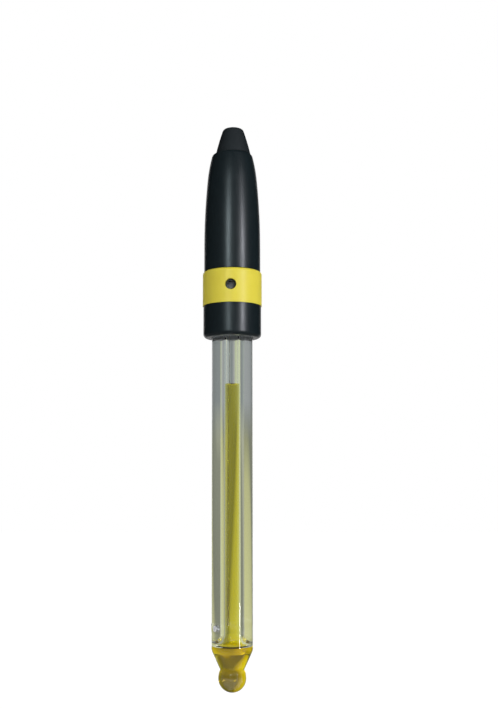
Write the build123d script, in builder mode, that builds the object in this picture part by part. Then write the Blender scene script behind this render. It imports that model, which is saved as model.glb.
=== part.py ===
import os
from math import acos, asin, atan2, cos, degrees, radians, sin, sqrt, tan

from build123d import *

os.makedirs("parts", exist_ok=True)

# A refillable combination pH electrode, in millimetres.
# The origin is the centre of the collar's flat underside. +Z runs up to the cable boot, and -Y is the front.

# Glass body
shaft_radius = 6.0  # outer tube, the usual 12 mm shaft
tube_wall = 1.0
shaft_length = 90.1  # from the collar down to the corner of the cone
cone_length = 5.3
cone_blend = 4.0  # outside radius where the tube turns into the cone
cone_end_radius = 3.6
cone_end_wall = 0.6
neck_grinding = 0.25  # taken off the tube's radius where it enters the head
neck_recess = 2.0  # from the spigot's top down to the end of the ground neck

stem_radius = 2.6
stem_wall = 1.0
stem_above_potting = 2.0
seal_to_cone = 1.0  # straight tube left between the ring seal and the cone

bulb_swell = 0.4  # how much wider than the cone's end the bulb is
bulb_waist = 0.5  # straight band between the bulb's two halves
bulb_wall = 0.4
crease_depth = 0.14  # step from the cone's end in to the bulb's neck
crease_height = 0.3

# Porous junction in the tube's wall
junction_radius = 0.85
junction_to_cone = 6.3  # height over the corner of the cone
junction_turn = 54.0  # degrees from the front towards -X
junction_reach = 0.4  # how far the pin stands into the chamber
bead_radius = 5.97  # sphere whose crown is the low glass bead round the pin
bead_rise = 0.16

# Liquids
buffer_level = -13.6
meniscus_sag = 0.4
fill_below_port = 2.0  # from the port's lower edge to the electrolyte

# Electrodes inside, straight wires parallel to the axis
measuring_wire_radius = 0.1
wire_to_glass = 0.73  # from the measuring wire's middle to the stem's bore
measuring_coat_radius = 0.22
measuring_coat_length = 13.7
measuring_tip_to_cone = 6.8  # height over the corner of the cone
reference_wire_radius = 0.2
reference_coat_radius = 0.5
reference_coat_length = 7.0
reference_tip_height = 1.5
wire_above_stem = 9.0
ferrule_radius = 0.8
ferrule_bore_radius = 0.4
ferrule_length = 6.0
ferrule_overlap = 3.0  # how much of the wire each ferrule grips

# Collar and its spigot
collar_shoulder = 0.9  # how far the collar stands out past the spigot
collar_height = 9.35
collar_edge = 1.1  # radius of the lower outside edge
collar_mouth = 0.25  # chamfer where the glass enters
spigot_wall = 1.5
socket_wall = 0.83  # wall of the spigot's upper part, inside the head shell
socket_depth = 6.4

# Fill ring and port
ring_wall = 0.95
ring_top_land = 0.1  # flat that the rounded upper edge leaves
ring_bottom_edge = 0.7
ring_hole_radius = 1.6
port_radius = 1.1
port_to_collar = 5.25
port_to_shell = 5.0
port_turn = 3.0  # degrees from the front towards -X

# Head shell, whose side is two tangent arcs above a straight skirt, up to the roof's corner
shell_wall = 1.3
shell_skirt = 7.4
shell_height = 35.5
shell_roof = 1.6
shell_foot_edge = 0.2
lower_arc_radius = 212.0
lower_arc_angle = 5.4
roof_hole_radius = 4.05
roof_rim = 1.8  # from the hole out to the roof's corner
shoulder_edge = 1.2

# Cable boot
cable_hole_radius = 1.6
boot_lip = 1.15  # how far the boot's base covers the roof past its hole
boot_tip_radius = 2.92
boot_height = 7.8
boot_crown = 70.0  # radius of the boot's slightly bulging side
boot_tip_edge = 1.1
boot_base_edge = 0.25
boot_offset = 0.27  # the soft boot sits a little towards +X
boot_flange_fit = 0.2  # between the flange and the shell's inside
boot_flange_height = 1.5

# Soft seals and filling
port_seal_section = 0.9
port_seal_reach = 3.1  # from the port's middle to each ring seal
neck_seal_section = 1.15
neck_seal_to_ring = 5.35  # from the ring's foot down to the neck's O-ring
plug_recess = 0.5  # from the end of the ground neck down to the plug
plug_length = 4.5
stopper_length = 3.0
stopper_cap = 1.2
potting_above_spigot = 3.0

# Clearances
glass_fit = 0.1  # glass in the collar's mouth
ring_fit = 0.15  # running fit of the ring on the spigot
ring_play = 0.05  # at each end of the ring
seal_fit = 0.04
soft_fit = 0.03  # plugs, potting and wires
socket_fit = 0.05  # shell on the spigot's upper part, and boot in the roof

# Radii that follow from the sizes above
ground_neck_radius = shaft_radius - neck_grinding
tube_bore = shaft_radius - tube_wall
stem_bore = stem_radius - stem_wall
chamber_middle = (stem_radius + tube_bore) / 2  # where the reference wire hangs
measuring_wire_x = wire_to_glass - stem_bore
flare_radius = tube_bore - stem_radius
bulb_radius = cone_end_radius + bulb_swell
bulb_neck_radius = cone_end_radius - crease_depth
bulb_bore = bulb_radius - bulb_wall
bulb_neck_bore = cone_end_radius - cone_end_wall
collar_bore = shaft_radius + glass_fit
spigot_radius = collar_bore + spigot_wall
socket_radius = collar_bore + socket_wall
collar_radius = spigot_radius + collar_shoulder
ring_bore = spigot_radius + ring_fit
ring_radius = ring_bore + ring_wall
ring_top_edge = ring_wall - ring_top_land
shell_bore = socket_radius + socket_fit
shell_radius = shell_bore + shell_wall
roof_radius = roof_hole_radius + roof_rim
boot_base_radius = roof_hole_radius + boot_lip

# Heights in the head, from the collar's underside up
ring_foot = collar_height
neck_seal_height = ring_foot - neck_seal_to_ring
port_height = ring_foot + port_to_collar
shell_foot = port_height + port_to_shell
spigot_top = shell_foot + socket_depth
neck_top = spigot_top - neck_recess
plug_foot = neck_top - plug_recess - plug_length
potting_top = spigot_top + potting_above_spigot
stem_top = potting_top + stem_above_potting
wire_top = stem_top + wire_above_stem
shell_top = shell_foot + shell_height
electrolyte_level = port_height - port_radius - fill_below_port

# Heights in the shaft, from the collar's underside down
cone_top = -shaft_length
cone_end = cone_top - cone_length
cone_half_angle = atan2(shaft_radius - cone_end_radius, cone_length)
inner_cone_top = cone_top + tube_wall * tan(cone_half_angle / 2)
flare_height = cone_top + seal_to_cone + flare_radius + stem_wall
junction_height = cone_top + junction_to_cone
measuring_tip_height = cone_top + measuring_tip_to_cone
bulb_upper = cone_end - crease_height - sqrt(bulb_radius**2 - bulb_neck_radius**2)
bulb_lower = bulb_upper - bulb_waist

port_plane = Plane(
    origin=(0, 0, port_height),
    z_dir=(-sin(radians(port_turn)), -cos(radians(port_turn)), 0),
)
junction_direction = Vector(-sin(radians(junction_turn)), -cos(radians(junction_turn)), 0)
junction_plane = Plane(origin=(0, 0, junction_height), z_dir=junction_direction)


# Outer glass tube, with its cone, ground neck, fill hole and the bead round the junction
with BuildPart() as outer_tube:
    with BuildSketch(Plane.XZ) as tube_outside:
        with BuildLine():
            Polyline(
                (0, neck_top),
                (ground_neck_radius, neck_top),
                (ground_neck_radius, 0),
                (shaft_radius, 0),
                (shaft_radius, cone_top),
                (cone_end_radius, cone_end),
                (0, cone_end),
                close=True,
            )
        make_face()
        fillet(tube_outside.vertices().sort_by_distance((shaft_radius, cone_top))[0], cone_blend)
    revolve(axis=Axis.Z)
    with Locations(junction_plane.offset(shaft_radius + bead_rise - bead_radius).origin):
        Sphere(bead_radius)
    with BuildSketch(Plane.XZ) as tube_inside:
        with BuildLine():
            Polyline(
                (0, neck_top),
                (tube_bore, neck_top),
                (tube_bore, inner_cone_top),
                (bulb_neck_bore, cone_end),
                (0, cone_end),
                close=True,
            )
        make_face()
        inner_corner = tube_inside.vertices().sort_by_distance((tube_bore, inner_cone_top))[0]
        fillet(inner_corner, cone_blend - tube_wall)
    revolve(axis=Axis.Z, mode=Mode.SUBTRACT)
    with BuildSketch(port_plane):
        Circle(port_radius)
    extrude(amount=shaft_radius, mode=Mode.SUBTRACT)
    with BuildSketch(junction_plane):
        Circle(junction_radius)
    extrude(amount=shaft_radius + bead_rise, mode=Mode.SUBTRACT)
outer_tube.part.label = "outer_tube"
export_step(outer_tube.part, "parts/outer_tube.step")


# Inner glass stem, flared at its foot to meet the tube's wall square on
with BuildPart() as inner_stem:
    with BuildSketch(Plane.XZ) as stem_section:
        with BuildLine():
            Polyline(
                (stem_radius, flare_height),
                (stem_radius, stem_top),
                (stem_bore, stem_top),
                (stem_bore, flare_height),
            )
            CenterArc((tube_bore, flare_height), flare_radius, 180, 90)
            CenterArc((tube_bore, flare_height), flare_radius + stem_wall, 180, 90)
            Line(
                (tube_bore, flare_height - flare_radius),
                (tube_bore, flare_height - flare_radius - stem_wall),
            )
        make_face()
    revolve(axis=Axis.Z)
inner_stem.part.label = "inner_stem"
export_step(inner_stem.part, "parts/inner_stem.step")


# Blown bulb of sensing glass, with its crease under the cone
outer_neck_angle = degrees(acos(bulb_neck_radius / bulb_radius))
inner_neck_angle = degrees(acos(bulb_neck_bore / bulb_bore))
with BuildPart() as sensing_bulb:
    with BuildSketch(Plane.XZ) as bulb_section:
        with BuildLine():
            CenterArc((0, bulb_upper), bulb_radius, 0, outer_neck_angle)
            Line((bulb_radius, bulb_upper), (bulb_radius, bulb_lower))
            CenterArc((0, bulb_lower), bulb_radius, -90, 90)
            Line((0, bulb_lower - bulb_radius), (0, bulb_lower - bulb_bore))
            CenterArc((0, bulb_lower), bulb_bore, -90, 90)
            Line((bulb_bore, bulb_lower), (bulb_bore, bulb_upper))
            CenterArc((0, bulb_upper), bulb_bore, 0, inner_neck_angle)
            Polyline(
                (bulb_neck_bore, bulb_upper + bulb_bore * sin(radians(inner_neck_angle))),
                (bulb_neck_bore, cone_end),
                (bulb_neck_radius, cone_end),
                (bulb_neck_radius, cone_end - crease_height),
            )
        make_face()
    revolve(axis=Axis.Z)
sensing_bulb.part.label = "sensing_bulb"
export_step(sensing_bulb.part, "parts/sensing_bulb.step")


# Porous ceramic pin, fused through the wall and flush with its bead
with BuildPart() as ceramic_junction:
    with BuildSketch(junction_plane.offset(tube_bore - junction_reach)):
        Circle(junction_radius)
    extrude(amount=junction_reach + tube_wall + bead_rise)
ceramic_junction.part.label = "ceramic_junction"
export_step(ceramic_junction.part, "parts/ceramic_junction.step")


# Silver wires with their chloride-coated ends, one in the stem and one in the chamber
measuring_coat_top = measuring_tip_height + measuring_coat_length
with BuildPart() as measuring_wire:
    with BuildSketch(Plane.XY.offset(measuring_coat_top)):
        with Locations((measuring_wire_x, 0)):
            Circle(measuring_wire_radius)
    extrude(amount=wire_top - measuring_coat_top)
measuring_wire.part.label = "measuring_wire"
export_step(measuring_wire.part, "parts/measuring_wire.step")

with BuildPart() as measuring_element:
    with BuildSketch(Plane.XY.offset(measuring_tip_height)):
        with Locations((measuring_wire_x, 0)):
            Circle(measuring_coat_radius)
    extrude(amount=measuring_coat_length)
    fillet(measuring_element.edges().sort_by(Axis.Z)[0], measuring_coat_radius / 2)
measuring_element.part.label = "measuring_element"
export_step(measuring_element.part, "parts/measuring_element.step")

reference_coat_top = reference_tip_height + reference_coat_length
with BuildPart() as reference_wire:
    with BuildSketch(Plane.XY.offset(reference_coat_top)):
        with Locations((chamber_middle, 0)):
            Circle(reference_wire_radius)
    extrude(amount=wire_top - reference_coat_top)
reference_wire.part.label = "reference_wire"
export_step(reference_wire.part, "parts/reference_wire.step")

with BuildPart() as reference_element:
    with BuildSketch(Plane.XY.offset(reference_tip_height)):
        with Locations((chamber_middle, 0)):
            Circle(reference_coat_radius)
    extrude(amount=reference_coat_length)
    fillet(reference_element.edges().sort_by(Axis.Z)[0], reference_coat_radius / 2)
reference_element.part.label = "reference_element"
export_step(reference_element.part, "parts/reference_element.step")


# Yellow buffer: the stem, cone and bulb filled to a sagging meniscus, less the glass and the wire
middle_radius = (stem_radius + stem_bore) / 2
meniscus_radius = (stem_bore**2 + meniscus_sag**2) / (2 * meniscus_sag)
with BuildPart() as inner_buffer:
    with BuildSketch(Plane.XZ) as buffer_section:
        with BuildLine():
            Polyline((middle_radius, flare_height), (middle_radius, buffer_level), (0, buffer_level))
            CenterArc((tube_bore, flare_height), flare_radius + stem_wall / 2, 180, 90)
            Polyline(
                (tube_bore, flare_height - flare_radius - stem_wall / 2),
                (tube_bore + tube_wall / 2, flare_height - flare_radius - stem_wall / 2),
                (tube_bore + tube_wall / 2, cone_top),
                ((cone_end_radius + bulb_neck_bore) / 2, cone_end),
                ((bulb_neck_radius + bulb_neck_bore) / 2, cone_end - crease_height),
                (bulb_bore + bulb_wall / 2, bulb_upper),
                (bulb_bore + bulb_wall / 2, bulb_lower),
            )
            CenterArc((0, bulb_lower), bulb_bore + bulb_wall / 2, -90, 90)
            Line((0, bulb_lower - bulb_bore - bulb_wall / 2), (0, buffer_level))
        make_face()
    revolve(axis=Axis.Z)
    for wall_piece in (outer_tube, inner_stem, sensing_bulb, measuring_wire, measuring_element):
        add(wall_piece.part, mode=Mode.SUBTRACT)
    with Locations((0, 0, buffer_level - meniscus_sag + meniscus_radius)):
        Sphere(meniscus_radius, mode=Mode.SUBTRACT)
inner_buffer.part.label = "inner_buffer"
export_step(inner_buffer.part, "parts/inner_buffer.step")


# Clear electrolyte: the chamber between stem and tube, filled to just under the port
with BuildPart() as reference_electrolyte:
    with BuildSketch(Plane.XZ) as chamber_section:
        with BuildLine():
            Polyline(
                (stem_radius, flare_height),
                (stem_radius, electrolyte_level),
                (tube_bore, electrolyte_level),
                (tube_bore, flare_height - flare_radius),
            )
            CenterArc((tube_bore, flare_height), flare_radius, 180, 90)
        make_face()
    revolve(axis=Axis.Z)
    for wetted_piece in (ceramic_junction, reference_wire, reference_element):
        add(wetted_piece.part, mode=Mode.SUBTRACT)
reference_electrolyte.part.label = "reference_electrolyte"
export_step(reference_electrolyte.part, "parts/reference_electrolyte.step")


# Soft plug that closes the chamber over the port
with BuildPart() as chamber_plug:
    with BuildSketch(Plane.XY.offset(plug_foot)):
        Circle(tube_bore - soft_fit)
        Circle(stem_radius + soft_fit, mode=Mode.SUBTRACT)
        with Locations((chamber_middle, 0)):
            Circle(reference_wire_radius + soft_fit, mode=Mode.SUBTRACT)
    extrude(amount=plug_length)
chamber_plug.part.label = "chamber_plug"
export_step(chamber_plug.part, "parts/chamber_plug.step")


# Rubber stopper in the stem's top end, with a cap that rests on the glass
with BuildPart() as stem_stopper:
    with BuildSketch(Plane.XY.offset(stem_top - stopper_length)):
        Circle(stem_bore - soft_fit)
    extrude(amount=stopper_length)
    with BuildSketch(Plane.XY.offset(stem_top)):
        Circle(stem_radius)
    extrude(amount=stopper_cap)
    with BuildSketch(Plane.XY.offset(stem_top - stopper_length)):
        with Locations((measuring_wire_x, 0)):
            Circle(measuring_wire_radius + soft_fit)
    extrude(amount=stopper_length + stopper_cap, mode=Mode.SUBTRACT)
stem_stopper.part.label = "stem_stopper"
export_step(stem_stopper.part, "parts/stem_stopper.step")


# Collar with its spigot, the grooves for three O-rings and the port
port_groove_floor = ring_bore - seal_fit - port_seal_section - seal_fit
port_groove_width = port_seal_section + 2 * seal_fit
neck_groove_radius = ground_neck_radius + neck_seal_section + 2 * seal_fit
neck_groove_width = neck_seal_section + 2 * seal_fit
with BuildPart() as collar:
    with BuildSketch(Plane.XZ) as collar_section:
        with BuildLine():
            Polyline(
                (collar_bore, 0),
                (collar_radius, 0),
                (collar_radius, collar_height),
                (spigot_radius, collar_height),
                (spigot_radius, shell_foot),
                (socket_radius, shell_foot),
                (socket_radius, spigot_top),
                (collar_bore, spigot_top),
                close=True,
            )
        make_face()
        for groove_height in (port_height - port_seal_reach, port_height + port_seal_reach):
            with Locations((port_groove_floor, groove_height)):
                Rectangle(
                    collar_radius, port_groove_width, align=(Align.MIN, Align.CENTER), mode=Mode.SUBTRACT
                )
        with Locations((neck_groove_radius, neck_seal_height)):
            Rectangle(
                neck_groove_radius, neck_groove_width, align=(Align.MAX, Align.CENTER), mode=Mode.SUBTRACT
            )
        fillet(collar_section.vertices().sort_by_distance((collar_radius, 0))[0], collar_edge)
        chamfer(collar_section.vertices().sort_by_distance((collar_bore, 0))[0], collar_mouth)
    revolve(axis=Axis.Z)
    with BuildSketch(port_plane):
        Circle(port_radius)
    extrude(amount=collar_radius, mode=Mode.SUBTRACT)
collar.part.label = "collar"
export_step(collar.part, "parts/collar.step")


# O-ring between the glass neck and the collar
with BuildPart() as glass_seal:
    with BuildSketch(Plane.XZ):
        with Locations((ground_neck_radius + seal_fit + neck_seal_section / 2, neck_seal_height)):
            Circle(neck_seal_section / 2)
    revolve(axis=Axis.Z)
glass_seal.part.label = "glass_seal"
export_step(glass_seal.part, "parts/glass_seal.step")


# O-rings on the spigot, under and over the port
for seal_name, seal_side in (("ring_seal_lower", -1), ("ring_seal_upper", 1)):
    with BuildPart() as ring_seal:
        with BuildSketch(Plane.XZ):
            seal_centre = port_groove_floor + seal_fit + port_seal_section / 2
            with Locations((seal_centre, port_height + seal_side * port_seal_reach)):
                Circle(port_seal_section / 2)
        revolve(axis=Axis.Z)
    ring_seal.part.label = seal_name
    export_step(ring_seal.part, f"parts/{seal_name}.step")


# Yellow ring that turns on the spigot, its hole over the port
with BuildPart() as fill_ring:
    with BuildSketch(Plane.XZ) as ring_section:
        with BuildLine():
            Polyline(
                (ring_bore, ring_foot + ring_play),
                (ring_radius, ring_foot + ring_play),
                (ring_radius, shell_foot - ring_play),
                (ring_bore, shell_foot - ring_play),
                close=True,
            )
        make_face()
        ring_corners = ring_section.vertices()
        fillet(ring_corners.sort_by_distance((ring_radius, shell_foot))[0], ring_top_edge)
        fillet(ring_corners.sort_by_distance((ring_radius, ring_foot))[0], ring_bottom_edge)
    revolve(axis=Axis.Z)
    with BuildSketch(port_plane):
        Circle(ring_hole_radius)
    extrude(amount=ring_radius, mode=Mode.SUBTRACT)
fill_ring.part.label = "fill_ring"
export_step(fill_ring.part, "parts/fill_ring.step")


# Head shell: a skirt, two tangent arcs and a rounded shoulder, hollow to an even wall
def shell_side(wall, roof):
    """Outline of the shell's side from its foot to a flat roof, moved in by a wall, and the roof's radius."""
    lower_centre = Vector(shell_radius - lower_arc_radius, shell_foot + shell_skirt)
    outward = Vector(cos(radians(lower_arc_angle)), sin(radians(lower_arc_angle)))
    arcs_meet = lower_centre + outward * lower_arc_radius
    chord = Vector(roof_radius, shell_top) - arcs_meet
    upper_arc_radius = -(chord.length**2) / (2 * chord.dot(outward))
    upper_centre = arcs_meet - outward * upper_arc_radius
    roof_angle = degrees(asin((roof - upper_centre.Y) / (upper_arc_radius - wall)))
    corner_radius = upper_centre.X + (upper_arc_radius - wall) * cos(radians(roof_angle))
    with BuildLine() as side:
        Line((shell_radius - wall, shell_foot), (shell_radius - wall, shell_foot + shell_skirt))
        CenterArc(lower_centre, lower_arc_radius - wall, 0, lower_arc_angle)
        CenterArc(upper_centre, upper_arc_radius - wall, lower_arc_angle, roof_angle - lower_arc_angle)
        Polyline((corner_radius, roof), (0, roof), (0, shell_foot), (shell_radius - wall, shell_foot))
    return side.line, corner_radius


shell_outline, shell_corner_radius = shell_side(0, shell_top)
cavity_outline, cavity_corner_radius = shell_side(shell_wall, shell_top - shell_roof)
with BuildPart() as head_shell:
    with BuildSketch(Plane.XZ) as shell_section:
        with BuildLine():
            add(shell_outline)
        make_face()
        shell_corners = shell_section.vertices()
        fillet(shell_corners.sort_by_distance((shell_corner_radius, shell_top))[0], shoulder_edge)
        fillet(shell_corners.sort_by_distance((shell_radius, shell_foot))[0], shell_foot_edge)
    revolve(axis=Axis.Z)
    with BuildSketch(Plane.XZ) as cavity_section:
        with BuildLine():
            add(cavity_outline)
        make_face()
    revolve(axis=Axis.Z, mode=Mode.SUBTRACT)
    with BuildSketch(Plane.XY.offset(shell_foot)):
        Circle(shell_bore)
    extrude(amount=socket_depth, mode=Mode.SUBTRACT)
    with BuildSketch(Plane.XY.offset(shell_top)):
        Circle(roof_hole_radius)
    extrude(amount=-shell_roof, mode=Mode.SUBTRACT)
head_shell.part.label = "head_shell"
export_step(head_shell.part, "parts/head_shell.step")


# Resin in the spigot's top and the shell's foot, round the stem and the reference wire
with BuildPart() as head_potting:
    with BuildSketch(Plane.XY.offset(neck_top)):
        Circle(collar_bore - soft_fit)
    extrude(amount=spigot_top - neck_top)
    with BuildSketch(Plane.XY.offset(spigot_top)):
        Circle(socket_radius)
    extrude(amount=potting_above_spigot)
    with BuildSketch(Plane.XY.offset(neck_top)):
        Circle(stem_radius + soft_fit)
        with Locations((chamber_middle, 0)):
            Circle(reference_wire_radius + soft_fit)
    extrude(amount=potting_top - neck_top, mode=Mode.SUBTRACT)
head_potting.part.label = "head_potting"
export_step(head_potting.part, "parts/head_potting.step")


# Crimp sleeves on the two wires, ready for the cable's cores
for wire_name, wire_x in (("measuring", measuring_wire_x), ("reference", chamber_middle)):
    with BuildPart() as ferrule:
        with BuildSketch(Plane.XY.offset(wire_top - ferrule_overlap)):
            with Locations((wire_x, 0)):
                Circle(ferrule_radius)
                Circle(ferrule_bore_radius, mode=Mode.SUBTRACT)
        extrude(amount=ferrule_length)
    ferrule.part.label = f"{wire_name}_ferrule"
    export_step(ferrule.part, f"parts/{wire_name}_ferrule.step")


# Soft boot, buttoned into the roof by its flange, with the cable's hole right through
roof_underside = shell_top - shell_roof
flange_radius = cavity_corner_radius - boot_flange_fit
with BuildPart() as cable_boot:
    with BuildSketch(Plane.XZ):
        with BuildLine():
            Polyline(
                (0, roof_underside - boot_flange_height),
                (flange_radius, roof_underside - boot_flange_height),
                (flange_radius, roof_underside),
                (roof_hole_radius - socket_fit, roof_underside),
                (roof_hole_radius - socket_fit, shell_top),
                (0, shell_top),
                close=True,
            )
        make_face()
    revolve(axis=Axis.Z)
    boot_axis = Plane(origin=(boot_offset, 0, shell_top), x_dir=(1, 0, 0), z_dir=(0, -1, 0))
    with BuildSketch(boot_axis) as boot_section:
        with BuildLine():
            Line((0, 0), (boot_base_radius, 0))
            RadiusArc((boot_base_radius, 0), (boot_tip_radius, boot_height), -boot_crown)
            Polyline((boot_tip_radius, boot_height), (0, boot_height), (0, 0))
        make_face()
        boot_corners = boot_section.vertices()
        fillet(boot_corners.sort_by_distance((boot_tip_radius, boot_height))[0], boot_tip_edge)
        fillet(boot_corners.sort_by_distance((boot_base_radius, 0))[0], boot_base_edge)
    revolve(axis=Axis((boot_offset, 0, 0), (0, 0, 1)))
    with BuildSketch(Plane.XY.offset(roof_underside - boot_flange_height)):
        with Locations((boot_offset, 0)):
            Circle(cable_hole_radius)
    extrude(amount=boot_flange_height + shell_roof + boot_height, mode=Mode.SUBTRACT)
cable_boot.part.label = "cable_boot"
export_step(cable_boot.part, "parts/cable_boot.step")
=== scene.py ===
import math

import bpy
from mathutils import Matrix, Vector


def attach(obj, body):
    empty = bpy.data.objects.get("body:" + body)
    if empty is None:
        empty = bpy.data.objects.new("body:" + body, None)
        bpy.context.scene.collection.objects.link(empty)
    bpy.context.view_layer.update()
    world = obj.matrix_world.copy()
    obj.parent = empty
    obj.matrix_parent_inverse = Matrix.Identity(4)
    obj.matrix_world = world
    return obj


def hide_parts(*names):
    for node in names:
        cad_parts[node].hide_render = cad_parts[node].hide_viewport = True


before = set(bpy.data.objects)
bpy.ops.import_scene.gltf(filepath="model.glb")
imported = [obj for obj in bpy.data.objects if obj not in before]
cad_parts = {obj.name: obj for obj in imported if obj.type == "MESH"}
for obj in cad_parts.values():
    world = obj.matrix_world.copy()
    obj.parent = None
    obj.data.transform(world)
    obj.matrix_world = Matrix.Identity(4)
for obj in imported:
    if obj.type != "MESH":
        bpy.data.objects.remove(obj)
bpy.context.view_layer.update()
mm = 0.001
print("frame loaded with", len(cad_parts), "pieces")


# Shader maths: an expression on signals adds its own Math nodes

class Signal:
    def __init__(self, kit, socket):
        self.kit = kit
        self.socket = socket

    def maths(self, operation, first, second):
        return self.kit.node("ShaderNodeMath", {"operation": operation}, {0: first, 1: second})

    def __add__(self, other):
        return self.maths("ADD", self, other)

    def __radd__(self, other):
        return self.maths("ADD", other, self)

    def __sub__(self, other):
        return self.maths("SUBTRACT", self, other)

    def __rsub__(self, other):
        return self.maths("SUBTRACT", other, self)

    def __mul__(self, other):
        return self.maths("MULTIPLY", self, other)

    def __rmul__(self, other):
        return self.maths("MULTIPLY", other, self)

    def __gt__(self, other):
        return self.maths("GREATER_THAN", self, other)

    def __lt__(self, other):
        return self.maths("LESS_THAN", self, other)

    def root(self):
        return self.kit.node("ShaderNodeMath", {"operation": "SQRT"}, {0: self})


class Kit:
    # One node tree, with a single way to add any node to it
    def __init__(self, tree):
        self.tree = tree
        tree.nodes.clear()

    def node(self, kind, settings=None, inputs=None, output=0):
        made = self.tree.nodes.new(kind)
        for key, value in (settings or {}).items():
            if key == "stops":
                setStops(made.color_ramp, value)
            else:
                setattr(made, key, value)
        for key, value in (inputs or {}).items():
            if isinstance(value, Signal):
                self.tree.links.new(value.socket, made.inputs[key])
            else:
                made.inputs[key].default_value = value
        return Signal(self, made.outputs[output]) if made.outputs else made

    def noise(self, size, detail=2.0, stretch=(1, 1, 1), roughness=0.5):
        # size is the pattern's feature size in millimetres
        place = self.node("ShaderNodeTexCoord", {}, {}, "Object")
        if stretch != (1, 1, 1):
            place = self.node("ShaderNodeMapping", {}, {"Vector": place, "Scale": stretch})
        values = {"Vector": place, "Scale": 1 / (size * mm), "Detail": detail, "Roughness": roughness}
        return self.node("ShaderNodeTexNoise", {}, values, "Fac")

    def along(self, axis):
        # one object coordinate in millimetres
        place = self.node("ShaderNodeTexCoord", {}, {}, "Object")
        return self.node("ShaderNodeSeparateXYZ", {}, {0: place}, axis) * (1 / mm)

    def clamped(self, share):
        return self.node("ShaderNodeClamp", {}, {0: share})

    def ramp(self, factor, stops):
        return self.node("ShaderNodeValToRGB", {"stops": stops}, {"Fac": factor})

    def mixed(self, factor, first, second):
        return self.node("ShaderNodeMix", {"data_type": "RGBA"}, {0: factor, 6: first, 7: second}, 2)

    def bump(self, height, depth, under=None):
        # depth is how far a full step of height stands out, in millimetres
        values = {"Height": height, "Distance": depth * mm}
        if under is not None:
            values["Normal"] = under
        return self.node("ShaderNodeBump", {}, values)


def setStops(ramp, stops):
    while len(ramp.elements) > 1:
        ramp.elements.remove(ramp.elements[-1])
    ramp.elements[0].position, ramp.elements[0].color = stops[0][0], (*stops[0][1], 1)
    for position, colour in stops[1:]:
        ramp.elements.new(position).color = (*colour, 1)


def linear(red, green, blue):
    # a 0 to 255 display colour as the linear light that the shaders use
    def channel(value):
        share = value / 255
        return share / 12.92 if share <= 0.04045 else ((share + 0.055) / 1.055) ** 2.4
    return channel(red), channel(green), channel(blue)


def material(name, build, look):
    made = bpy.data.materials.new(name)
    made.use_nodes = True
    kit = Kit(made.node_tree)
    shader, volume = build(kit, look)
    ends = {"Surface": shader} if volume is None else {"Surface": shader, "Volume": volume}
    kit.node("ShaderNodeOutputMaterial", {}, ends)
    return made


def principled(kit, values):
    return kit.node("ShaderNodeBsdfPrincipled", {}, values)


# Finishes

def mouldedPlastic(kit, look):
    cloud = kit.noise(look["cloudSize"], 3.0)
    grain = kit.noise(look["grainSize"], 4.0, roughness=0.65)
    rubs = kit.noise(look["rubSize"], 2.0, stretch=(1, 1, 0.12))
    colour = kit.mixed(cloud, (*look["colour"], 1), (*look["colourShift"], 1))
    roughness = look["roughness"] + look["roughnessSpread"] * (rubs - 0.5)
    relief = kit.bump(grain, look["grainDepth"], under=kit.bump(cloud, look["cloudDepth"]))
    values = {
        "Base Color": colour,
        "Roughness": roughness,
        "Normal": relief,
        "IOR": look["ior"],
        "Specular IOR Level": look["specular"],
        "Subsurface Weight": look.get("subsurface", 0.0),
        "Subsurface Radius": look.get("subsurfaceRadius", (0.001, 0.001, 0.001)),
        "Subsurface Scale": 1.0,
    }
    return principled(kit, values), None


def clearGlass(kit, look):
    values = {
        "Base Color": (*look["tint"], 1),
        "Roughness": look["roughness"],
        "IOR": look["ior"],
        "Transmission Weight": 1.0,
    }
    return principled(kit, values), None


def frostedGlass(kit, look):
    glass, volume = clearGlass(kit, look)
    milk = kit.node("ShaderNodeBsdfDiffuse", {}, {"Color": (*look["milkColour"], 1)})
    return kit.node("ShaderNodeMixShader", {}, {0: look["milk"], 1: glass, 2: milk}), volume


def clearLiquid(kit, look):
    values = {
        "Base Color": (1, 1, 1, 1),
        "Roughness": 0.0,
        "IOR": look["ior"],
        "Transmission Weight": 1.0,
    }
    if look["density"] == 0:
        return principled(kit, values), None
    volume = {"Color": (*look["dye"], 1), "Density": look["density"]}
    return principled(kit, values), kit.node("ShaderNodeVolumeAbsorption", {}, volume)


def dullSolid(kit, look):
    patches = kit.noise(look["patchSize"], 4.0, roughness=0.6)
    grain = kit.noise(look["grainSize"], 3.0)
    colour = kit.mixed(patches, (*look["colour"], 1), (*look["colourShift"], 1))
    values = {
        "Base Color": colour,
        "Roughness": look["roughness"] + look["roughnessSpread"] * (grain - 0.5),
        "Metallic": look.get("metallic", 0.0),
        "Normal": kit.bump(grain, look["grainDepth"]),
    }
    return principled(kit, values), None


plasticLook = {
    "colour": linear(19, 30, 34),
    "colourShift": linear(25, 35, 39),
    "cloudSize": 2.2,
    "cloudDepth": 0.006,
    "grainSize": 0.16,
    "grainDepth": 0.0025,
    "rubSize": 0.7,
    "roughness": 0.34,
    "roughnessSpread": 0.16,
    "ior": 1.5,
    "specular": 0.5,
}
blackPlastic = material("blackPlastic", mouldedPlastic, plasticLook)

rubberLook = {
    **plasticLook,
    "colour": linear(26, 33, 37),
    "colourShift": linear(32, 39, 43),
    "roughness": 0.62,
    "grainSize": 0.11,
    "grainDepth": 0.004,
    "specular": 0.35,
}
bootRubber = material("bootRubber", mouldedPlastic, rubberLook)

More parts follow.
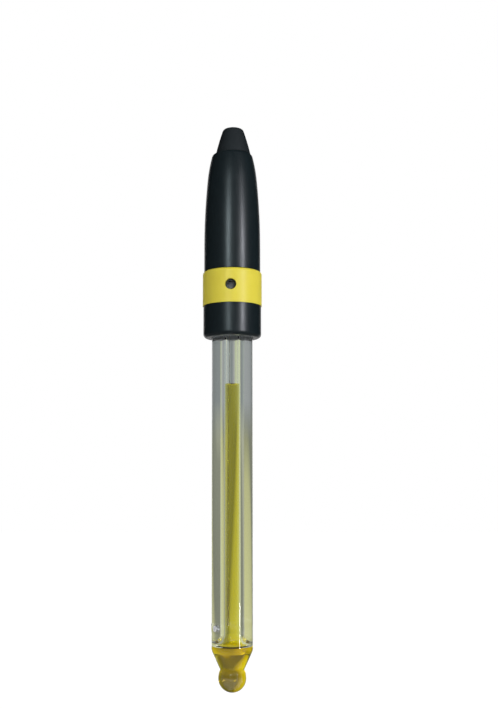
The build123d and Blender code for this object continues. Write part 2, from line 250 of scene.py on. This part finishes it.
yellowLook = {
    "colour": linear(232, 218, 74),
    "colourShift": linear(226, 210, 66),
    "cloudSize": 2.8,
    "cloudDepth": 0.004,
    "grainSize": 0.2,
    "grainDepth": 0.002,
    "rubSize": 0.6,
    "roughness": 0.42,
    "roughnessSpread": 0.14,
    "ior": 1.48,
    "specular": 0.4,
    "subsurface": 0.15,
    "subsurfaceRadius": (0.0009, 0.0007, 0.0002),
}
yellowPlastic = material("yellowPlastic", mouldedPlastic, yellowLook)

glassLook = {"tint": (0.985, 0.99, 0.985), "roughness": 0.0, "ior": 1.5}
tubeGlass = material("tubeGlass", clearGlass, glassLook)
waterIndex = 1.333
wettedLook = {**glassLook, "ior": glassLook["ior"] / waterIndex}  # glass with water behind it
wettedGlass = material("wettedGlass", clearGlass, wettedLook)
ringSealLook = {**glassLook, "ior": 1.03}  # where stem and wall are fused
sealGlass = material("sealGlass", clearGlass, ringSealLook)
groundLook = {**glassLook, "roughness": 0.4, "milk": 0.5, "milkColour": linear(214, 218, 226)}
groundGlass = material("groundGlass", frostedGlass, groundLook)

electrolyteLook = {"ior": 1.0, "density": 0}  # the glass faces round it already bend the light
clearSolution = material("clearSolution", clearLiquid, electrolyteLook)
bufferLook = {"ior": waterIndex, "dye": (0.995, 0.955, 0.2), "density": 900}
yellowSolution = material("yellowSolution", clearLiquid, bufferLook)

ceramicLook = {
    "colour": linear(252, 252, 252),
    "colourShift": linear(232, 235, 244),
    "patchSize": 0.25,
    "grainSize": 0.06,
    "grainDepth": 0.01,
    "roughness": 0.55,
    "roughnessSpread": 0.2,
}
whiteCeramic = material("whiteCeramic", dullSolid, ceramicLook)

silverLook = {
    "colour": linear(205, 203, 196),
    "colourShift": linear(176, 172, 164),
    "patchSize": 1.2,
    "grainSize": 0.05,
    "grainDepth": 0.003,
    "roughness": 0.3,
    "roughnessSpread": 0.2,
    "metallic": 1.0,
}
silverWire = material("silverWire", dullSolid, silverLook)
chlorideLook = {
    **silverLook,
    "colour": linear(222, 216, 202),
    "colourShift": linear(202, 194, 182),
    "patchSize": 0.5,
    "roughness": 0.8,
    "metallic": 0.0,
}
silverChloride = material("silverChloride", dullSolid, chlorideLook)
brassLook = {**silverLook, "colour": linear(202, 172, 104), "colourShift": linear(184, 152, 88)}
ferruleBrass = material("ferruleBrass", dullSolid, brassLook)
sealLook = {
    **chlorideLook,
    "colour": linear(34, 34, 35),
    "colourShift": linear(44, 44, 45),
    "patchSize": 0.8,
    "roughness": 0.5,
}
sealRubber = material("sealRubber", dullSolid, sealLook)
siliconeLook = {**chlorideLook, "colour": linear(206, 212, 208), "colourShift": linear(188, 196, 192)}
milkySilicone = material("milkySilicone", dullSolid, siliconeLook)
resinLook = {
    **chlorideLook,
    "colour": linear(48, 44, 40),
    "colourShift": linear(58, 52, 46),
    "roughness": 0.3,
}
castResin = material("castResin", dullSolid, resinLook)
print("finishes made")


# Turned forms

def arc(centre, radius, start, sweep, steps):
    # points on an arc in the outline's plane, angles in degrees
    points = []
    for step in range(steps + 1):
        angle = math.radians(start + sweep * step / steps)
        points.append((centre[0] + radius * math.cos(angle), centre[1] + radius * math.sin(angle)))
    return points


def rounded(corners, steps=10):
    # corners are (radius, height, rounding); each rounding becomes a tangent arc
    points = []
    for index, (x, y, rounding) in enumerate(corners):
        if not rounding:
            points.append((x, y))
            continue
        corner = Vector((x, y))
        before = (Vector(corners[index - 1][:2]) - corner).normalized()
        after = (Vector(corners[(index + 1) % len(corners)][:2]) - corner).normalized()
        half = before.angle(after) / 2
        centre = corner + (before + after).normalized() * (rounding / math.sin(half))
        first = corner + before * (rounding / math.tan(half)) - centre
        last = corner + after * (rounding / math.tan(half)) - centre
        turn = first.angle_signed(last)
        for step in range(steps + 1):
            angle = -turn * step / steps
            spoke = Vector((
                first.x * math.cos(angle) - first.y * math.sin(angle),
                first.x * math.sin(angle) + first.y * math.cos(angle),
            ))
            points.append(tuple(centre + spoke))
    return points


def evenly(start, end, spacing):
    # points between two ends of a straight stretch, the ends included
    count = max(1, round(math.dist(start, end) / spacing))
    return [
        (start[0] + (end[0] - start[0]) * step / count, start[1] + (end[1] - start[1]) * step / count)
        for step in range(count + 1)
    ]


turning = {
    "swing": 10.0,  # millimetres from the axis to the circle that carries the outline
    "weld": 0.001,  # millimetres within which points at a pole become one
    "sharpAngle": 50,  # degrees
}


def turningTree(name, finish, finishRule):
    # Geometry Nodes that turn an outline about the axis and then set its finishes
    tree = bpy.data.node_groups.new(name + "Turning", "GeometryNodeTree")
    sockets = {"Outline": "Geometry", "Sides": "Int", "Swing": "Float", "Weld": "Float", "Closed": "Bool"}
    keys = {
        label: tree.interface.new_socket(label, in_out="INPUT", socket_type="NodeSocket" + kind).identifier
        for label, kind in sockets.items()
    }
    tree.interface.new_socket("Piece", in_out="OUTPUT", socket_type="NodeSocketGeometry")
    kit = Kit(tree)

    def given(label):
        return kit.node("NodeGroupInput", {}, {}, label)

    points = kit.node("GeometryNodeMeshToPoints", {}, {"Mesh": given("Outline")})
    line = kit.node("GeometryNodePointsToCurves", {}, {"Points": points})
    line = kit.node("GeometryNodeCurveSplineType", {"spline_type": "POLY"}, {"Curve": line})
    line = kit.node("GeometryNodeSetSplineCyclic", {}, {"Geometry": line, "Cyclic": given("Closed")})
    inwards = kit.node("ShaderNodeCombineXYZ", {}, {"X": 0 - given("Swing")})
    line = kit.node("GeometryNodeSetPosition", {}, {"Geometry": line, "Offset": inwards})
    circleInputs = {"Resolution": given("Sides"), "Radius": given("Swing")}
    circle = kit.node("GeometryNodeCurvePrimitiveCircle", {}, circleInputs)
    wall = kit.node("GeometryNodeCurveToMesh", {}, {"Curve": circle, "Profile Curve": line})
    wall = kit.node("GeometryNodeMergeByDistance", {}, {"Geometry": wall, "Distance": given("Weld")})
    wall = kit.node("GeometryNodeRealizeInstances", {}, {"Geometry": wall})
    wall = kit.node("GeometryNodeSetMaterial", {}, {"Geometry": wall, "Material": finish})
    if finishRule:
        place = kit.node("GeometryNodeInputPosition")
        east, north, height = (
            kit.node("ShaderNodeSeparateXYZ", {}, {0: place}, axis) * (1 / mm) for axis in "XYZ"
        )
        radius = (east * east + north * north).root()
        for special, where in finishRule(radius, height):
            values = {"Geometry": wall, "Selection": where, "Material": special}
            wall = kit.node("GeometryNodeSetMaterial", {}, values)
    kit.node("NodeGroupOutput", {}, {"Piece": wall})
    return tree, keys


def turned(name, outline, sides, finish, finishRule=None, shaped=None):
    # an outline of (radius, height) in millimetres, closed or running from pole to pole
    closed = outline[0][0] > turning["weld"]
    ends = outline[1:] + outline[:1]
    if sum(a[0] * b[1] - b[0] * a[1] for a, b in zip(outline, ends)) > 0:
        outline = outline[::-1]  # this way round the faces point outwards
    dots = bpy.data.meshes.new(name + "Outline")
    dots.from_pydata([(radius * mm, -height * mm, 0) for radius, height in outline], [], [])
    piece = bpy.data.objects.new(name, dots)
    bpy.context.scene.collection.objects.link(piece)
    tree, keys = turningTree(name, finish, finishRule)
    modifier = piece.modifiers.new(name + "Turning", "NODES")
    modifier.node_group = tree
    modifier[keys["Sides"]] = sides
    modifier[keys["Swing"]] = turning["swing"] * mm
    modifier[keys["Weld"]] = turning["weld"] * mm
    modifier[keys["Closed"]] = closed
    graph = bpy.context.evaluated_depsgraph_get()
    mesh = bpy.data.meshes.new_from_object(piece.evaluated_get(graph))
    piece.modifiers.remove(modifier)
    piece.data = mesh
    bpy.data.meshes.remove(dots)
    mesh.name = name
    if shaped:
        for vertex in mesh.vertices:
            vertex.co = shaped(vertex.co / mm) * mm
    mesh.shade_smooth()
    mesh.set_sharp_from_angle(angle=math.radians(turning["sharpAngle"]))
    return piece


# Glass body, in millimetres

tubeSize = {
    "radius": 6.0,
    "bore": 5.0,
    "neckRadius": 5.75,  # ground down inside the head
    "neckTop": 24.0,
    "coneTop": -90.1,
    "coneEnd": -95.4,
    "coneEndRadius": 3.6,
    "coneEndBore": 3.0,
    "blend": 4.0,
    "boreBlend": 3.0,
    "ringSpacing": 1.5,
    "sides": 256,
}


def tubeBoreOutline(extra):
    # the bore from its top down to the bulb's neck, moved into the glass by extra
    t = tubeSize
    bore = t["bore"] + extra
    halfAngle = math.atan2(t["radius"] - t["coneEndRadius"], t["coneTop"] - t["coneEnd"]) / 2
    corner = t["coneTop"] + (t["radius"] - t["bore"]) * math.tan(halfAngle)
    corners = [
        (bore, t["neckTop"], 0),
        (bore, corner, t["boreBlend"]),
        (t["coneEndBore"] + extra, t["coneEnd"], 0),
    ]
    return rounded(corners)


junctionSize = {
    "height": -83.8,
    "turn": 54.0,  # degrees from the front towards -X
    "beadRadius": 5.97,
    "beadRise": 0.16,
    "reach": 2.2,
    "softness": 0.03,
    "ringSpacing": 0.1,
}
edgeRoom = 0.01  # how far a face may lie off a radius and still belong to it


def tubeOutline():
    t = tubeSize
    j = junctionSize
    corners = [
        (t["coneEndRadius"], t["coneEnd"], 0),
        (t["radius"], t["coneTop"], t["blend"]),
        (t["radius"], 0, 0),
    ]
    outside = rounded(corners)[:-1]
    fineFrom, fineTo = j["height"] - j["reach"], j["height"] + j["reach"]
    outside += evenly((t["radius"], outside[-1][1]), (t["radius"], fineFrom), t["ringSpacing"])[1:]
    outside += evenly((t["radius"], fineFrom), (t["radius"], fineTo), j["ringSpacing"])[1:]
    outside += evenly((t["radius"], fineTo), (t["radius"], 0), t["ringSpacing"])[1:]
    outside += [(t["neckRadius"], 0), (t["neckRadius"], t["neckTop"])]
    return outside + tubeBoreOutline(0)


def beadShape(point):
    # the glass bead round the ceramic pin, blended into the wall
    j = junctionSize
    radius = math.hypot(point.x, point.y)
    rise = point.z - j["height"]
    if abs(rise) > j["reach"] or radius < tubeSize["radius"] - edgeRoom:
        return point
    turn = math.atan2(-point.x, -point.y) - math.radians(j["turn"])
    centre = tubeSize["radius"] + j["beadRise"] - j["beadRadius"]
    inside = j["beadRadius"] ** 2 - rise ** 2 - (centre * math.sin(turn)) ** 2
    if inside <= 0 or math.cos(turn) < 0:
        return point
    bead = centre * math.cos(turn) + math.sqrt(inside)
    step = bead - radius
    grown = radius + (step + math.sqrt(step ** 2 + j["softness"] ** 2)) / 2
    return Vector((point.x * grown / radius, point.y * grown / radius, point.z))


stemSize = {
    "radius": 2.6,
    "bore": 1.6,
    "top": 31.0,
    "flareHeight": -85.7,
    "flareRadius": 2.4,
    "flareSkin": 0.3,  # how near its arc a face still counts as the flare's upper side
    "sealDepth": 1.5,  # from the flare's start down to where the seal's edge softens
    "arcSteps": 24,
    "ringSpacing": 2.0,
    "sides": 192,
}


def stemOutline():
    s = stemSize
    wall = s["radius"] - s["bore"]
    foot = tubeSize["bore"] + liquidSize["overlap"]
    centre = (tubeSize["bore"], s["flareHeight"])
    outside = arc(centre, s["flareRadius"], 270, -90, s["arcSteps"])
    inside = arc(centre, s["flareRadius"] + wall, 180, 90, s["arcSteps"])
    sealTop, sealFoot = s["flareHeight"] - s["flareRadius"], s["flareHeight"] - s["flareRadius"] - wall
    return (
        [(foot, sealFoot), (foot, sealTop)]
        + outside
        + evenly((s["radius"], s["flareHeight"]), (s["radius"], s["top"]), s["ringSpacing"])[1:]
        + [(s["bore"], s["top"])]
        + evenly((s["bore"], s["top"]), (s["bore"], s["flareHeight"]), s["ringSpacing"])[1:]
        + inside[1:]
    )


bulbSize = {
    "radius": 4.0,
    "bore": 3.6,
    "upper": -97.7,
    "lower": -98.2,
    "neckRadius": 3.46,
    "arcSteps": 40,
    "sides": 192,
}


def bulbOutline():
    b = bulbSize
    neckAngle = math.degrees(math.acos(b["neckRadius"] / b["radius"]))
    boreAngle = math.degrees(math.acos(tubeSize["coneEndBore"] / b["bore"]))
    top = tubeSize["coneEnd"] + liquidSize["overlap"]
    return (
        arc((0, b["lower"]), b["radius"], -90, 90, b["arcSteps"])
        + arc((0, b["upper"]), b["radius"], 0, neckAngle, b["arcSteps"])
        + [(b["neckRadius"], top), (tubeSize["coneEndBore"], top)]
        + arc((0, b["upper"]), b["bore"], boreAngle, -boreAngle, b["arcSteps"])
        + arc((0, b["lower"]), b["bore"], 0, -90, b["arcSteps"])
    )


liquidSize = {
    "overlap": 0.02,  # how far the buffer reaches into the glass, so that no gap shows
    "bufferLevel": -13.6,
    "sag": 0.4,
    "electrolyteLevel": 11.5,
    "surfaceSteps": 12,
    "inset": 0.01,
    "sides": 128,
}


def bufferOutline():
    # fills stem, flare, cone and bulb, up to a sagging surface
    s, b, q = stemSize, bulbSize, liquidSize
    extra = q["overlap"]
    wall = s["radius"] - s["bore"]
    bore = s["bore"] + extra
    surface = []
    for step in range(q["surfaceSteps"] + 1):
        radius = bore * step / q["surfaceSteps"]
        surface.append((radius, q["bufferLevel"] - q["sag"] * (1 - (radius / bore) ** 2)))
    flareCentre = (tubeSize["bore"], s["flareHeight"])
    flare = arc(flareCentre, s["flareRadius"] + wall - extra, 180, 90, s["arcSteps"])
    boreAngle = math.degrees(math.acos((tubeSize["coneEndBore"] + extra) / (b["bore"] + extra)))
    cone = [p for p in tubeBoreOutline(extra) if p[1] < flare[-1][1]]
    return (
        surface
        + evenly(surface[-1], (bore, s["flareHeight"]), s["ringSpacing"])[1:]
        + flare[1:]
        + [(tubeSize["bore"] + extra, flare[-1][1])]
        + cone
        + arc((0, b["upper"]), b["bore"] + extra, boreAngle, -boreAngle, b["arcSteps"])
        + arc((0, b["lower"]), b["bore"] + extra, 0, -90, b["arcSteps"])
    )


def electrolyteOutline():
    s, q = stemSize, liquidSize
    inner, outer = s["radius"] + q["inset"], tubeSize["bore"] - q["inset"]
    flareCentre = (tubeSize["bore"], s["flareHeight"])
    flare = arc(flareCentre, s["flareRadius"] - q["inset"], 180, 90, s["arcSteps"])
    return (
        [(outer, q["electrolyteLevel"]), (inner, q["electrolyteLevel"])]
        + flare
        + [(outer, flare[-1][1])]
    )


def tubeFinishes(radius, height):
    # ground outside in the head, and wetted inside except at the ring seal
    bore = tubeSize["bore"] + edgeRoom
    sealTop = stemSize["flareHeight"] - stemSize["flareRadius"]
    sealFoot = sealTop - (stemSize["radius"] - stemSize["bore"])
    atSeal = (height > sealFoot) * (height < sealTop)
    lowest = tubeSize["coneEnd"] + liquidSize["inset"]
    inLiquid = (height < liquidSize["electrolyteLevel"]) * (height > lowest)
    yield groundGlass, (height > 0) * (radius > bore)
    yield wettedGlass, (radius < bore) * inLiquid * (1 - atSeal)


def stemFinishes(radius, height):
    # wetted outside, with a softer edge where the flare runs out into the wall
    s = stemSize
    away = radius - tubeSize["bore"]
    down = height - s["flareHeight"]
    nearFlare = (away * away + down * down).root() < s["flareRadius"] + s["flareSkin"]
    above = height > s["flareHeight"]
    outside = above + (1 - above) * nearFlare
    inChamber = (radius > s["radius"] - edgeRoom) * (radius < tubeSize["bore"] - edgeRoom)
    yield wettedGlass, (height < liquidSize["electrolyteLevel"]) * inChamber * outside
    yield sealGlass, (height < s["flareHeight"] - s["sealDepth"]) * outside


glassPieces = {
    "outerTube": {
        "node": "outer_tube", "slot": "clear_glass",
        "turned": (tubeOutline(), tubeSize["sides"], tubeGlass, tubeFinishes, beadShape),
    },
    "innerStem": {
        "node": "inner_stem", "slot": "clear_glass",
        "turned": (stemOutline(), stemSize["sides"], tubeGlass, stemFinishes),
    },
    "sensingBulb": {
        "node": "sensing_bulb", "slot": "sensing_glass",
        "turned": (bulbOutline(), bulbSize["sides"], tubeGlass),
    },
    "innerBuffer": {
        "node": "inner_buffer", "slot": "yellow_buffer",
        "turned": (bufferOutline(), bulbSize["sides"], yellowSolution),
    },
    "electrolyte": {
        "node": "reference_electrolyte", "slot": "clear_electrolyte",
        "turned": (electrolyteOutline(), liquidSize["sides"], clearSolution),
    },
}
for pieceName, look in glassPieces.items():
    piece = turned(pieceName, *look["turned"])
    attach(piece, "electrode")
    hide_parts(look["node"])
print("glass body made")


# Finishes of the pieces that keep their packed form

nodeFinish = {
    "collar": blackPlastic,
    "head_shell": blackPlastic,
    "cable_boot": bootRubber,
    "fill_ring": yellowPlastic,
    "ceramic_junction": whiteCeramic,
    "measuring_wire": silverWire,
    "reference_wire": silverWire,
    "measuring_element": silverChloride,
    "reference_element": silverChloride,
    "measuring_ferrule": ferruleBrass,
    "reference_ferrule": ferruleBrass,
    "glass_seal": sealRubber,
    "ring_seal_lower": sealRubber,
    "ring_seal_upper": sealRubber,
    "stem_stopper": sealRubber,
    "chamber_plug": milkySilicone,
    "head_potting": castResin,
}
for nodeName, finish in nodeFinish.items():
    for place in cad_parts[nodeName].material_slots:
        place.material = finish
print("packed pieces finished")


# Studio

studio = {
    "floorHeight": -0.3,  # metres, as all sizes of the studio
    "floorHalf": 6.0,
    "floorGrey": 0.88,
    "floorGlow": 1.3,
    "floorShare": 0.7,  # how much of the floor's own glow the camera sees
    "ambient": 0.48,
}


def seenShare(kit):
    # 1 for what the camera sees straight, mirrored or through glass
    flags = [
        kit.node("ShaderNodeLightPath", {}, {}, way)
        for way in ("Is Camera Ray", "Is Glossy Ray", "Is Transmission Ray")
    ]
    return kit.node("ShaderNodeMath", {"operation": "MINIMUM"}, {0: flags[0] + flags[1] + flags[2], 1: 1.0})


def paleFloor(kit, look):
    lit = kit.node("ShaderNodeBsdfDiffuse", {}, {"Color": (*[look["floorGrey"]] * 3, 1)})
    glow = kit.node("ShaderNodeEmission", {}, {"Color": (1, 1, 1, 1), "Strength": look["floorGlow"]})
    share = seenShare(kit) * look["floorShare"]
    return kit.node("ShaderNodeMixShader", {}, {0: share, 1: lit, 2: glow}), None


def cardGlow(kit, look):
    return kit.node("ShaderNodeEmission", {}, {"Color": (*look["colour"], 1), "Strength": 1.0}), None


def glowing(kit, colour):
    # a Principled shader that only glows, in a colour that may vary
    values = {
        "Base Color": (0, 0, 0, 1),
        "Specular IOR Level": 0.0,
        "Emission Color": colour,
        "Emission Strength": 1.0,
    }
    return principled(kit, values), None


def fadingGlow(kit, look):
    # the card's colour, which fades to white at its foot
    share = (kit.along("Z") - look["low"] / mm) * (mm / look["fade"])
    return glowing(kit, kit.ramp(share, [(0.0, look["footColour"]), (1.0, look["colour"])]))


def studioPiece(name, points, finish, faces=None):
    # one flat face on all points, unless faces are given
    mesh = bpy.data.meshes.new(name)
    mesh.from_pydata(points, [], faces or [tuple(range(len(points)))])
    mesh.materials.append(finish)
    piece = bpy.data.objects.new(name, mesh)
    bpy.context.scene.collection.objects.link(piece)
    return piece


half, low = studio["floorHalf"], studio["floorHeight"]
floorCorners = [(-half, -half, low), (half, -half, low), (half, half, low), (-half, half, low)]
studioPiece("studioFloor", floorCorners, material("paleFloor", paleFloor, studio))

world = bpy.data.worlds.new("studioWorld")
bpy.context.scene.world = world
world.use_nodes = True
worldKit = Kit(world.node_tree)
worldStrength = studio["ambient"] + (1 - studio["ambient"]) * seenShare(worldKit)
worldLight = worldKit.node("ShaderNodeBackground", {}, {"Color": (1, 1, 1, 1), "Strength": worldStrength})
worldKit.node("ShaderNodeOutputWorld", {}, {"Surface": worldLight})


def around(azimuth, distance, height):
    # azimuth in degrees from the front, positive towards +X
    angle = math.radians(azimuth)
    return Vector((math.sin(angle) * distance, -math.cos(angle) * distance, height))


def hidden(piece, mirrored, through):
    piece.visible_camera = False
    piece.visible_diffuse = False
    piece.visible_shadow = False
    piece.visible_volume_scatter = False
    piece.visible_glossy = mirrored
    piece.visible_transmission = through


def card(name, look):
    # a curved upright card round the electrode, seen only through glass or only mirrored
    points, faces = [], []
    for step in range(cardSteps + 1):
        azimuth = look["from"] + (look["to"] - look["from"]) * step / cardSteps
        points.append(around(azimuth, look["distance"], look["low"]))
        points.append(around(azimuth, look["distance"], look["high"]))
        if step:
            faces.append((2 * step - 2, 2 * step, 2 * step + 1, 2 * step - 1))
    finish = material(name, fadingGlow if look["through"] else cardGlow, look)
    hidden(studioPiece(name, points, finish, faces), not look["through"], look["through"])


def levelCard(name, look):
    # a level card above or below the electrode, seen only in reflections
    corners = [around(360 * step / cardSteps, look["radius"], look["height"]) for step in range(cardSteps)]
    hidden(studioPiece(name, corners, material(name, cardGlow, look)), True, False)


cardSteps = 24
footWhite = (0.96, 0.96, 0.96)
cards = {
    "frontDark": {
        "from": -151, "to": 151, "distance": 1.06, "low": -0.29, "high": 1.2,
        "colour": (0.008, 0.009, 0.01), "through": False,
    },
    "frontGrey": {
        "from": -90, "to": 90, "distance": 1.05, "low": -0.29, "high": 1.2, "through": True,
        "colour": linear(150, 152, 150), "footColour": footWhite, "fade": 0.1,
    },
    "backRightGrey": {
        "from": 92, "to": 180, "distance": 0.9, "low": -0.29, "high": 0.6, "through": True,
        "colour": linear(172, 174, 168), "footColour": footWhite, "fade": 0.25,
    },
    "backLeftPale": {
        "from": 180, "to": 268, "distance": 0.9, "low": -0.29, "high": 0.6, "through": True,
        "colour": linear(214, 217, 196), "footColour": footWhite, "fade": 0.25,
    },
}
for cardName, look in cards.items():
    card(cardName, look)
levelCard("darkCeiling", {"radius": 2.6, "height": 1.21, "colour": (0.02, 0.021, 0.023)})
levelCard("darkGround", {"radius": 1.2, "height": -0.295, "colour": (0.1, 0.1, 0.095)})


# A glowing card painted as a white table top close behind the electrode, seen only through the glass: the
# electrode's shadow on it is painted shade, and the bright yellowish stripes are painted light that the
# glass and yellow buffer bend onto it

tableLook = {
    "behind": 8.3,  # millimetres from the axis, as all sizes here
    "halfWidth": 45.0,
    "top": 2.2,
    "foot": -135.0,
    "edgeAt": -0.4,  # where the shadow's edge crosses edgeHeight
    "edgeHeight": -76.0,
    "edgeSlope": 0.035,
    "span": 6.0,  # the stops run from -span to span across the table
    # painted shadow (the dark stops) and painted light bent through the buffer (the bright yellowish
    # stops), one row for each zone
    "lowerStops": [
        (0.0, (0.40, 0.41, 0.30)),
        (0.28, (0.42, 0.43, 0.32)),
        (0.325, (0.25, 0.26, 0.20)),
        (0.47, (0.21, 0.22, 0.16)),
        (0.525, (0.50, 0.50, 0.25)),
        (0.63, (0.62, 0.62, 0.30)),
        (0.92, (0.66, 0.69, 0.48)),
    ],
    "tipStops": [
        (0.25, (0.84, 0.80, 0.26)),
        (0.44, (0.62, 0.56, 0.12)),
        (0.48, (0.40, 0.35, 0.07)),
        (0.496, (0.17, 0.16, 0.03)),
        (0.56, (0.12, 0.11, 0.02)),
        (0.70, (0.18, 0.17, 0.05)),
        (1.0, (0.34, 0.34, 0.12)),
    ],
    "tipTop": -88.0,
    "tipFoot": -91.0,
    "upperStops": [
        (0.0, (0.40, 0.44, 0.43)),
        (0.10, (0.37, 0.41, 0.40)),
        (0.33, (0.28, 0.31, 0.31)),
        (0.45, (0.21, 0.23, 0.23)),
        (0.53, (0.28, 0.30, 0.31)),
        (0.60, (0.34, 0.36, 0.36)),
        (0.70, (0.46, 0.48, 0.42)),
        (0.80, (0.52, 0.56, 0.36)),
        (1.0, (0.60, 0.65, 0.44)),
    ],
    "blendTop": -18.0,
    "blendFoot": -30.0,
}


def paintedShadowTable(kit, look):
    # one row of colours across for each zone, blended along the height; the rows hold a painted shadow of
    # the electrode and painted light bent through the glass and buffer
    across, height = kit.along("X"), kit.along("Z")

    def colours(shift, stops):
        return kit.ramp((shift + look["span"]) * (0.5 / look["span"]), look[stops])

    def between(low, high):
        return kit.clamped((height - look[low]) * (1 / (look[high] - look[low])))

    # the slanted edge of the painted shadow
    edge = look["edgeAt"] + (height - look["edgeHeight"]) * look["edgeSlope"]
    lower = colours(across - edge, "lowerStops")
    tip = colours(across, "tipStops")
    upper = colours(across, "upperStops")
    shaft = kit.mixed(between("tipTop", "tipFoot"), lower, tip)
    return glowing(kit, kit.mixed(between("blendFoot", "blendTop"), shaft, upper))


tableEdges = (("foot", -1), ("foot", 1), ("top", 1), ("top", -1))
tableCorners = [
    (side * tableLook["halfWidth"] * mm, tableLook["behind"] * mm, tableLook[edge] * mm)
    for edge, side in tableEdges
]
hidden(studioPiece("paintedShadowTable", tableCorners, material("paintedShadowTable", paintedShadowTable, tableLook)), False, True)


# Lamps a metre away: narrow ones that are only mirrored, and a soft key light that isn't

lampDistance = 1.0
lamps = {
    "leftStrip": {
        "azimuth": -15.5, "height": 0.315, "size": (0.10, 0.17),
        "radiance": 44, "tint": (0.84, 1.0, 1.05),
    },
    "rightHigh": {
        "azimuth": 42, "height": 0.285, "size": (0.06, 0.08),
        "radiance": 120, "tint": (0.97, 0.98, 1.07),
    },
    "rightMiddle": {
        "azimuth": 42, "height": 0.175, "size": (0.06, 0.05),
        "radiance": 170, "tint": (0.97, 0.98, 1.05),
    },
    "rightLow": {
        "azimuth": 42, "height": -0.219, "size": (0.07, 0.074),
        "radiance": 24, "tint": (1.0, 1.0, 1.0), "through": False,
    },
    "rightKey": {
        "azimuth": 32, "height": 0.35, "size": (0.7, 0.7),
        "radiance": 4.0, "tint": (1.0, 1.0, 1.0), "soft": True,
    },
}
for lampName, look in lamps.items():
    lamp = bpy.data.lights.new(lampName, "AREA")
    lamp.shape = "RECTANGLE"
    lamp.size, lamp.size_y = look["size"]
    lamp.energy = look["radiance"] * look["size"][0] * look["size"][1] * math.pi
    lamp.color = look["tint"]
    holder = bpy.data.objects.new(lampName, lamp)
    bpy.context.scene.collection.objects.link(holder)
    holder.location = around(look["azimuth"], lampDistance, look["height"])
    soft = look.get("soft", False)
    target = Vector((0, 0, 0 if soft else look["height"]))
    holder.rotation_mode = "QUATERNION"
    holder.rotation_quaternion = (target - holder.location).to_track_quat("-Z", "Y")
    holder.visible_camera = False
    holder.visible_diffuse = soft
    holder.visible_glossy = not soft
    holder.visible_transmission = look.get("through", not soft)
print("studio lit")


# Camera, at the photograph's angle

cameraSet = {
    "distance": 0.305,
    "height": -0.0445,
    "pitch": 4.7,  # degrees up
    "lens": 53.1,
    "shiftRight": 0.0236,
    "shiftUp": 0.070,
    "sensorWidth": 36,
    "clipStart": 0.01,
}
cameraData = bpy.data.cameras.new("studioCamera")
cameraData.lens = cameraSet["lens"]
cameraData.sensor_width = cameraSet["sensorWidth"]
cameraData.shift_x = cameraSet["shiftRight"]
cameraData.shift_y = cameraSet["shiftUp"]
cameraData.clip_start = cameraSet["clipStart"]
studioCamera = bpy.data.objects.new("studioCamera", cameraData)
bpy.context.scene.collection.objects.link(studioCamera)
studioCamera.location = (0, -cameraSet["distance"], cameraSet["height"])
studioCamera.rotation_euler = (math.radians(90 + cameraSet["pitch"]), 0, 0)
bpy.context.scene.camera = studioCamera

scene = bpy.context.scene
scene.view_settings.view_transform = "Standard"
scene.cycles.max_bounces = 40  # light crosses many glass faces
scene.cycles.transmission_bounces = 40
scene.cycles.glossy_bounces = 8
scene.cycles.transparent_max_bounces = 16

print("scene ready")
